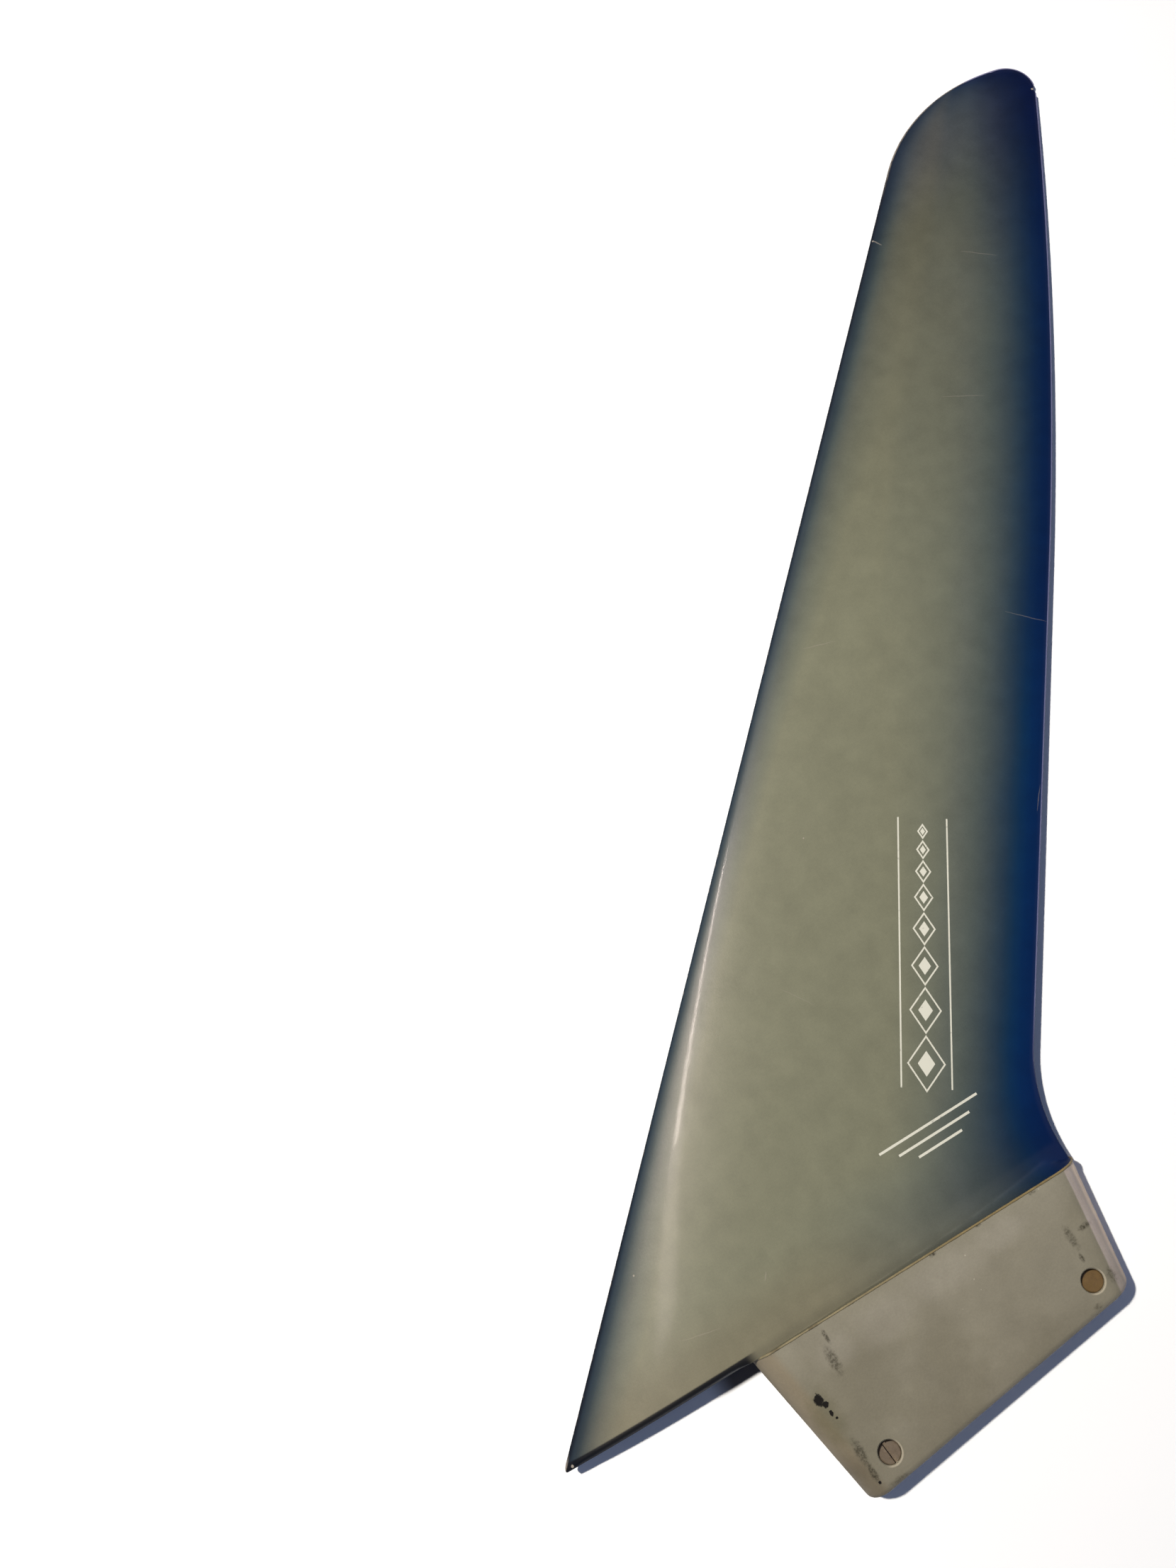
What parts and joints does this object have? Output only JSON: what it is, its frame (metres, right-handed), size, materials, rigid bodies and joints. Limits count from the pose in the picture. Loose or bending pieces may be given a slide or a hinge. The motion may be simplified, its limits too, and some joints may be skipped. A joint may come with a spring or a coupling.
{
  "type": "windsurfing weed fin",
  "caption": "Long swept-back foiled fin for a sailboard, with a forward overhang and a tapered plug held by bolts into barrel nuts.",
  "frame": {"origin": "middle of the plug's top face, in the plane of the board's bottom", "axes": "+X aft along the board, +Y out along the blade to its tip, +Z one side of the fin, which lies on its side"},
  "size_m": [0.4719, 0.4643, 0.0186],
  "materials": {
    "laminate": "glass laminate, khaki green over a blue core, blue at the thin edges, gloss",
    "cast_resin": "filled resin, warm grey, scuffed",
    "nut_brass": "tarnished"
  },
  "bodies": {
    "root": {"blade": "laminate", "head": "cast_resin", "barrel_nut_front": "nut_brass", "barrel_nut_rear": "nut_brass"}
  },
  "joints": []
}
